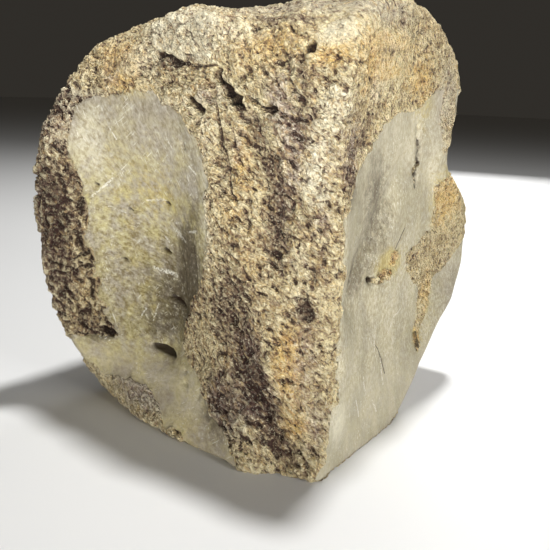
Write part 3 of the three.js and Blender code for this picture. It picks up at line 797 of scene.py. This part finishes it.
def sponge_colour(g, sponge, zone):
    """Spongy bone: patches of colour, then painted highlight on the crumbs and painted shade in
    the gaps between them.
    """
    place = g.place
    plain = g.mix(g.step(g.noise(place, 4.5, 4, 0.6), 0.38, 0.62), BONE["tan"], BONE["cream"])
    rusty = g.mix(g.step(g.noise(place, 2.0, 2), 0.35, 0.65), BONE["orange"], BONE["amber"])
    lively = g.step(zone["mild"], 0.1, 1.0, 1.0, 0.3)     # patterns are weaker on finer bone
    # How high each place stands: lower in the mesh's hollows and in painted shade and stain,
    # higher on chalky and finer bone. The layers below paint shade on low places and highlight on
    # high ones.
    level = g.total(sponge["height"], (g.field("hollow"), -1.5), (zone["stain"], -0.5),
                    (zone["darkest"], -0.12), (zone["chalk"], 0.15), (zone["mild"], 0.35))
    # Colour of the painted highlight on the crumbs' tops, tinted by each patch and dimmed where
    # the shade is deepest.
    tops = g.laid_over(BONE["top"], (
        (zone["chalk"], 1.0, BONE["chalk_top"]),
        (zone["rust"], 0.45, BONE["rust_top"]),
        (zone["plum"], 0.5, BONE["plum_top"]),
        (zone["ash"], 0.4, BONE["ash_top"]),
        (zone["darkest"], 0.6, BONE["stain_top"]),
    ))
    red, green, blue = sponge["tints"][:3]
    return g.laid_over(plain, (
        (zone["ash"], 0.8, BONE["ash"]),
        (zone["rust"], 0.8, rusty),
        (zone["chalk"], 0.7, BONE["chalk"]),
        (g.step(g.noise(place, 3.0, 3, 0.7), 0.53, 0.66), 0.45, BONE["ochre"]),
        (g.step(g.noise(place, 2.2, 3, 0.7), 0.55, 0.68), 0.45, BONE["umber"]),
        (zone["plum"], 0.7, BONE["plum"]),
        (zone["stain"], 0.65, BONE["stain"]),
        # Painted shade of the left rim, with the darkest stain.
        (zone["darkest"], 0.72, BONE["darkest_stain"]),
        (g.times(lively, g.step(red, 0.5, 0.9)), 0.4, BONE["pale_crumb"]),
        (g.times(lively, g.step(green, 0.5, 0.9)), 0.3, BONE["brown_crumb"]),
        (g.times(lively, g.step(blue, 0.65, 0.95)), 0.28, BONE["ochre_crumb"]),
        # Painted shade on the low places and painted highlight on the high ones.
        (g.step(level, 0.05, -0.4), 0.55, BONE["low"]),
        (g.step(level, -0.35, -0.85), 0.85, BONE["lowest"]),
        (g.step(level, 0.2, 0.6), 0.82, tops),
        (g.times(lively, g.step(sponge["grit"], 0.54, 0.66)), 0.5, tops),
        (g.times(lively, g.step(sponge["grit"], 0.46, 0.34)), 0.45, BONE["grit"]),
        # Painted shade in the pores.
        (g.times(lively, sponge["pore"]), 0.45, BONE["pore"]),
    ))


def fibre_pattern(g, face):
    """Fine fibres of the skin, which lean down to the right on the waist, more steeply high up,
    and run nearly upright on the +X face."""
    swayed = g.moved(g.place, 7, 1, 2.6)
    low, high, upright = (
        g.noise(g.drawn_out(swayed, turn, factor), size, 4, 0.75)
        for turn, factor, size in ((16, 2.6, 0.9), (52, 2.6, 0.8), (96, 2.2, 0.7)))
    fibre = g.blend(g.step(g.z, 62, 84), low, high)
    fibre = g.blend(0.45, fibre, g.noise(g.place, 1.7, 4, 0.7))
    return g.blend(face, fibre, upright)


def scribed_pattern(g):
    """Scattered fine scribed lines that cross each other."""
    lines = g.math("MAXIMUM", g.noise(g.drawn_out(g.place, 62, 12), 0.5, 1),
                   g.noise(g.drawn_out(g.place, -38, 12), 0.5, 1))
    return g.times(g.step(lines, 0.66, 0.73), g.step(g.noise(g.place, 9, 2), 0.45, 0.6))


def drawn_lines(g, marks):
    """A fine wavering line for each mark, 1 along its middle, on its own side of the bone."""
    wavering = g.moved(g.place, 2.5, 2, 1.2)
    sides = {"y": g.step(g.y, 10, -10), "x": g.step(g.x, 30, 40)}
    flat = {axis: g.vector("MULTIPLY", wavering, tuple(FLAT[axis])) for axis in sides}
    return [g.times(g.step(g.route_distance(flat[axis], start, end), width, 0.3 * width),
                    sides[axis])
            for axis, start, end, width in marks]


def skin_colour(g, zone, face, fibre, speckle):
    """Smooth skin: mottled grey and yellow, its patches, its fibres, and the marks on it."""
    place, height = g.place, g.z
    waist = g.step(face, 1, 0)
    warm = g.step(height, 98, 62, 0.3, 1.0)
    dapple = g.step(g.noise(place, 6, 4, 0.65), 0.35, 0.65)
    blotch = g.step(g.noise(place, 3.4, 3, 0.65), 0.52, 0.68)
    broad = g.step(g.noise(g.drawn_out(place, 84, 2.5), 9, 3, 0.6), 0.35, 0.65)
    pale = g.step(g.noise(place, 8, 3, 0.6), 0.42, 0.6)
    # Painted shade on the lower middle of the waist.
    shade = g.times(g.step(height, 62, 48), g.step(height, 14, 30), waist)
    hide = g.laid_over(SKIN["grey"], (
        (g.times(dapple, warm), 1.0, SKIN["olive"]),
        (g.times(blotch, warm), 0.5, SKIN["yellow"]),
        (face, 0.8, g.mix(broad, SKIN["face_grey"], SKIN["face_beige"])),
        (zone["chalk"], 0.8, SKIN["chalk"]),
        (zone["rust"], 0.6, SKIN["rust"]),
        (zone["ash"], 0.75, SKIN["ash"]),
        (shade, 0.22, SKIN["shade"]),
        (g.times(g.step(height, 26, 12), waist), 0.42,
         g.mix(pale, SKIN["low_grey"], SKIN["low_cream"])),
        # Painted shade and stain on the skin.
        (zone["stain"], 0.85, SKIN["stain"]),
    ))
    vivid = g.times(g.step(height, 50, 85, 1.0, 0.75), g.step(face, 0, 1, 1.0, 0.55),
                    g.step(height, 14, 26, 0.4, 1.0))
    furrow = g.times(g.step(fibre, 0.56, 0.38), vivid)
    hide = g.mix(furrow, hide, SKIN["furrow"], "MULTIPLY")
    hide = g.laid_over(hide, (
        (g.times(g.step(fibre, 0.54, 0.66), vivid), 0.5, SKIN["fibre"]),
        (g.step(g.noise(place, 1.6, 3, 0.7), 0.52, 0.68), 0.25, SKIN["mottle"]),
        (g.step(speckle, 0.68, 0.8), 0.6, SKIN["speck"]),
        (scribed_pattern(g), 0.45, SKIN["scribe"]),
    ))
    broken = g.step(speckle, 0.4, 0.6)
    return g.laid_over(hide, [(g.times(line, broken), 0.55, SKIN["scratch"])
                              for line in drawn_lines(g, SCRATCHES)])


def bone_material():
    """Spongy bone and smooth skin in one material, with a ragged edge between them."""
    material = bpy.data.materials.new("fossil_bone")
    g = Graph(material)
    sponge = sponge_pattern(g)
    zone = zone_patterns(g, sponge["rubble"])
    face = g.step(g.x, 42, 48)
    fibre = fibre_pattern(g, face)
    speckle = g.noise(g.place, 0.6, 2, 0.6)
    edge = g.total(-1.2, (g.field("skin_field"), 1), (g.noise(g.place, 1.8, 4, 0.7), 2.4))
    skin = g.step(edge, -0.25, 0.3)

    base = g.mix(skin, sponge_colour(g, sponge, zone), skin_colour(g, zone, face, fibre, speckle))
    base = g.laid_over(base, [
        # Painted shade in the mesh's hollows, on skin and spongy bone alike.
        (g.step(g.field("hollow"), 0.5, 1.5), 0.75, SKIN["hollow"]),
        *((line, 0.8, SKIN["fissure"]) for line in drawn_lines(g, FISSURES)),
        # Painted shade inside the openings and cracks.
        (g.step(g.field("sunk"), 0.4, 1.8), 0.9, SKIN["opening"]),
    ])
    roughness = g.blend(skin, g.step(sponge["height"], -0.3, 0.8, 1.0, 0.8),
                        g.step(fibre, 0.3, 0.7, 0.5, 0.65))
    height = g.blend(skin, sponge["height"], g.total(0.0, (fibre, 0.12), (speckle, 0.05)))
    bump = g.add("Bump", {"Height": height, "Distance": BUMP_DEPTH * MM, "Strength": 1.0})
    g.feed(g.shader.inputs["Base Color"], base)
    g.feed(g.shader.inputs["Roughness"], roughness)
    g.feed(g.shader.inputs["Normal"], bump.outputs[0])
    g.shader.inputs["Specular IOR Level"].default_value = 0.25
    return material


# ---------------------------------------- the refined bone

FINE_LEVELS = 3
MOST_TRIANGLES = 192000
SIDE_MARGIN = 0.01    # how far the relief may stand outside the CAD box, as a share of a side
UNDERSIDE = 0.02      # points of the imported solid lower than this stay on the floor
WELD = 0.02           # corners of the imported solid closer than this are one
QUAD_LIMIT = 70       # degrees: how unlike a flat square two joined triangles may be
HOLLOW_ROUNDS = 8     # how many rounds of averaging a hollow is measured against
CRACK_SHARE = 0.6     # how dark a crack is beside an opening of the same depth


def vectors(items, name):
    """One vector of each item of a mesh, as an (n, 3) array."""
    values = np.empty(len(items) * 3)
    items.foreach_get(name, values)
    return values.reshape(-1, 3)


def with_modifier(mesh, kind, **settings):
    """A new mesh: the given one with a modifier applied."""
    holder = bpy.data.objects.new("holder", mesh)
    bpy.context.scene.collection.objects.link(holder)
    modifier = holder.modifiers.new("change", kind)
    for name, value in settings.items():
        setattr(modifier, name, value)
    graph = bpy.context.evaluated_depsgraph_get()
    changed = bpy.data.meshes.new_from_object(holder.evaluated_get(graph))
    bpy.data.objects.remove(holder)
    bpy.data.meshes.remove(mesh)
    return changed


def coarse_copy():
    """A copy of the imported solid's mesh, in quads."""
    bm = bmesh.new()
    bm.from_mesh(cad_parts["centrum"].data)
    bmesh.ops.remove_doubles(bm, verts=bm.verts, dist=WELD * MM)
    bmesh.ops.join_triangles(bm, faces=bm.faces, angle_face_threshold=math.radians(QUAD_LIMIT),
                             angle_shape_threshold=math.radians(QUAD_LIMIT))
    mesh = bpy.data.meshes.new("coarse")
    bm.to_mesh(mesh)
    bm.free()
    return mesh


def add_field(mesh, name, values):
    """Gives each point of a mesh a value that its material can read."""
    attribute = mesh.attributes.new(name, "FLOAT", "POINT")
    attribute.data.foreach_set("value", values.astype(np.float32))


def hollowness(mesh, points, normals):
    """How far each vertex lies below the mean of its neighbourhood."""
    ends = np.empty(len(mesh.edges) * 2, dtype=np.int32)
    mesh.edges.foreach_get("vertices", ends)
    first, second = ends.reshape(-1, 2).T
    count = np.bincount(ends, minlength=len(points))
    mean = points
    for _ in range(HOLLOW_ROUNDS):
        total = np.stack([np.bincount(first, mean[second, axis], len(points))
                          + np.bincount(second, mean[first, axis], len(points))
                          for axis in range(3)], axis=1)
        mean = total / count[:, None]
    return ((mean - points) * normals).sum(axis=1)


def kept_in_box(moved, points):
    """Moved points, held to the CAD box and its margin, with the underside flat on the floor."""
    low, high = (np.array(corner) / MM for corner in cad_box)
    margin = SIDE_MARGIN * (high - low)
    moved = np.clip(moved, low - margin * (1, 1, 0), high + margin)
    moved[points[:, 2] < UNDERSIDE, 2] = 0
    return moved


def build_bone():
    mesh = with_modifier(coarse_copy(), "SUBSURF", levels=FINE_LEVELS, render_levels=FINE_LEVELS)
    points = vectors(mesh.vertices, "co") / MM
    normals = vectors(mesh.vertex_normals, "vector")
    rise, sunk, cleft, skin_field = relief(points, normals)
    moved = kept_in_box(points + normals * rise[:, None] + sunk, points)
    mesh.vertices.foreach_set("co", (moved * MM).ravel())
    mesh.polygons.foreach_set("use_smooth", [True] * len(mesh.polygons))
    mesh.update()
    add_field(mesh, "skin_field", skin_field)
    add_field(mesh, "hollow", hollowness(mesh, moved, vectors(mesh.vertex_normals, "vector")))
    add_field(mesh, "sunk", np.abs(sunk).sum(axis=1) + CRACK_SHARE * cleft)
    for name in ZONES:
        add_field(mesh, name, zone_field(points, name))
    triangles = 2 * len(mesh.polygons)
    mesh = with_modifier(mesh, "DECIMATE", ratio=MOST_TRIANGLES / triangles)
    mesh.name = "fossil_bone"
    mesh.materials.clear()
    mesh.materials.append(bone_material())
    piece = bpy.data.objects.new("fossil_bone", mesh)
    bpy.context.scene.collection.objects.link(piece)
    return piece


# ---------------------------------------- stage

FLOOR_REACH = 4000
FLOOR_COLOUR = (0.75, 0.75, 0.74, 1)
FLOOR_ROUGHNESS = 0.6

# Soft boxes: name, place, the place each one faces, width, power, and spread in degrees.
SOFTBOXES = (
    ("overhead", (30, 120, 750), (0, 0, 60), 70, 5.5, 180),
    ("front", (370, -560, 55), (0, -40, 125), 100, 0.235, 34),
    ("side", (600, -60, 220), (50, 0, 85), 160, 1.46, 180),
    ("back", (-160, 720, 300), (0, 20, 70), 400, 2.6, 180),
)
AMBIENT_COLOUR = (1.0, 0.9, 0.76, 1)
AMBIENT_STRENGTH = 0.03


def add_floor():
    mesh = bpy.data.meshes.new("floor")
    reach = FLOOR_REACH * MM
    corners = [(x * reach, y * reach, 0) for x, y in ((-1, -1), (1, -1), (1, 1), (-1, 1))]
    mesh.from_pydata(corners, [], [(0, 1, 2, 3)])
    floor = bpy.data.objects.new("floor", mesh)
    bpy.context.scene.collection.objects.link(floor)
    material = bpy.data.materials.new("floor")
    material.use_nodes = True
    shader = material.node_tree.nodes["Principled BSDF"]
    shader.inputs["Base Color"].default_value = FLOOR_COLOUR
    shader.inputs["Roughness"].default_value = FLOOR_ROUGHNESS
    mesh.materials.append(material)


def add_softbox(name, place, aim, width, power, spread):
    light = bpy.data.lights.new(name, "AREA")
    light.shape = "DISK"
    light.size = width * MM
    light.energy = power
    light.spread = math.radians(spread)
    lamp = bpy.data.objects.new(name, light)
    lamp.location = Vector(place) * MM
    lamp.rotation_euler = (Vector(aim) - Vector(place)).to_track_quat("-Z", "Y").to_euler()
    lamp.visible_camera = False
    bpy.context.scene.collection.objects.link(lamp)


def add_lights():
    for softbox in SOFTBOXES:
        add_softbox(*softbox)
    world = bpy.data.worlds.new("studio")
    world.use_nodes = True
    background = world.node_tree.nodes["Background"]
    background.inputs["Color"].default_value = AMBIENT_COLOUR
    background.inputs["Strength"].default_value = AMBIENT_STRENGTH
    bpy.context.scene.world = world
    bpy.context.scene.view_settings.view_transform = "Standard"


add_camera()
bone = build_bone()
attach(bone, "root")
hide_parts("centrum")
add_floor()
add_lights()
